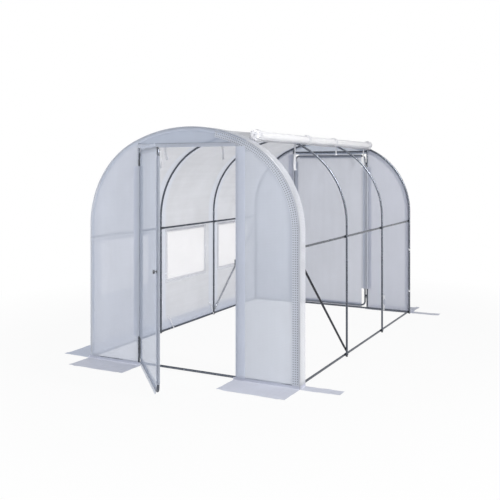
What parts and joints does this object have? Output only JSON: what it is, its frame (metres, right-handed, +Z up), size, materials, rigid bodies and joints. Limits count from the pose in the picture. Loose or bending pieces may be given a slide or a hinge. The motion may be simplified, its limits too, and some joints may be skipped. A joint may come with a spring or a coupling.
{
  "type": "polytunnel greenhouse",
  "caption": "Walk-in polytunnel greenhouse: tubular steel hoops under translucent film, with hinged end doors, mesh windows and one side rolled up.",
  "frame": {"origin": "underside of the front left foot, on the ground, at the front left leg's centre line", "axes": "+X right across the front, +Y back along the tunnel, +Z up; the open front door swings towards -Y"},
  "size_m": [2.6396, 4.095, 2.0027],
  "materials": {
    "galvanised_tube": "galvanised, dull",
    "hinge_steel": "zinc plated, dull",
    "foot_plastic": "moulded",
    "cover_film": "translucent reinforced polyethylene film",
    "window_mesh": "fine white insect mesh",
    "tie_ribbon": "white woven ribbon"
  },
  "bodies": {
    "greenhouse": {"front_hoop_legs": "galvanised_tube", "front_hoop_shoulders": "galvanised_tube", "front_hoop_crown": "galvanised_tube", "second_hoop_legs": "galvanised_tube", "second_hoop_shoulders": "galvanised_tube", "second_hoop_crown": "galvanised_tube", "third_hoop_legs": "galvanised_tube", "third_hoop_shoulders": "galvanised_tube", "third_hoop_crown": "galvanised_tube", "back_hoop_legs": "galvanised_tube", "back_hoop_shoulders": "galvanised_tube", "back_hoop_crown": "galvanised_tube", "foot_plugs": "foot_plastic", "left_bottom_rails": "galvanised_tube", "right_bottom_rails": "galvanised_tube", "left_purlins": "galvanised_tube", "right_purlins": "galvanised_tube", "ridge_purlins": "galvanised_tube", "corner_braces": "galvanised_tube", "end_rails": "galvanised_tube", "door_posts": "galvanised_tube", "door_headers": "galvanised_tube", "hinge_brackets": "hinge_steel", "door_catches": "hinge_steel", "front_hinge_side_panel": "cover_film", "front_latch_side_panel": "cover_film", "front_top_panel": "cover_film", "back_hinge_side_panel": "cover_film", "back_latch_side_panel": "cover_film", "back_top_panel": "cover_film", "left_wall_film": "cover_film", "left_shoulder_film": "cover_film", "crown_film": "cover_film", "side_bands": "cover_film", "ground_skirts": "cover_film", "window_meshes": "window_mesh", "window_flaps": "cover_film", "rolled_side_film": "cover_film", "roll_ties": "tie_ribbon"},
    "front_door": {"front_door_frame": "galvanised_tube", "front_door_film": "cover_film", "front_door_fittings": "hinge_steel"},
    "back_door": {"back_door_frame": "galvanised_tube", "back_door_film": "cover_film", "back_door_fittings": "hinge_steel"}
  },
  "joints": [
    {"name": "front_door_hinge", "type": "hinge", "parent": "greenhouse", "child": "front_door", "pos_m": [0.5205, -0.0155, 0], "axis": [0, 0, -1], "range_deg": [-44.5, 105.5]},
    {"name": "back_door_hinge", "type": "hinge", "parent": "greenhouse", "child": "back_door", "pos_m": [1.4795, 3.0155, 0], "axis": [0, 0, -1], "range_deg": [0, 150]}
  ]
}
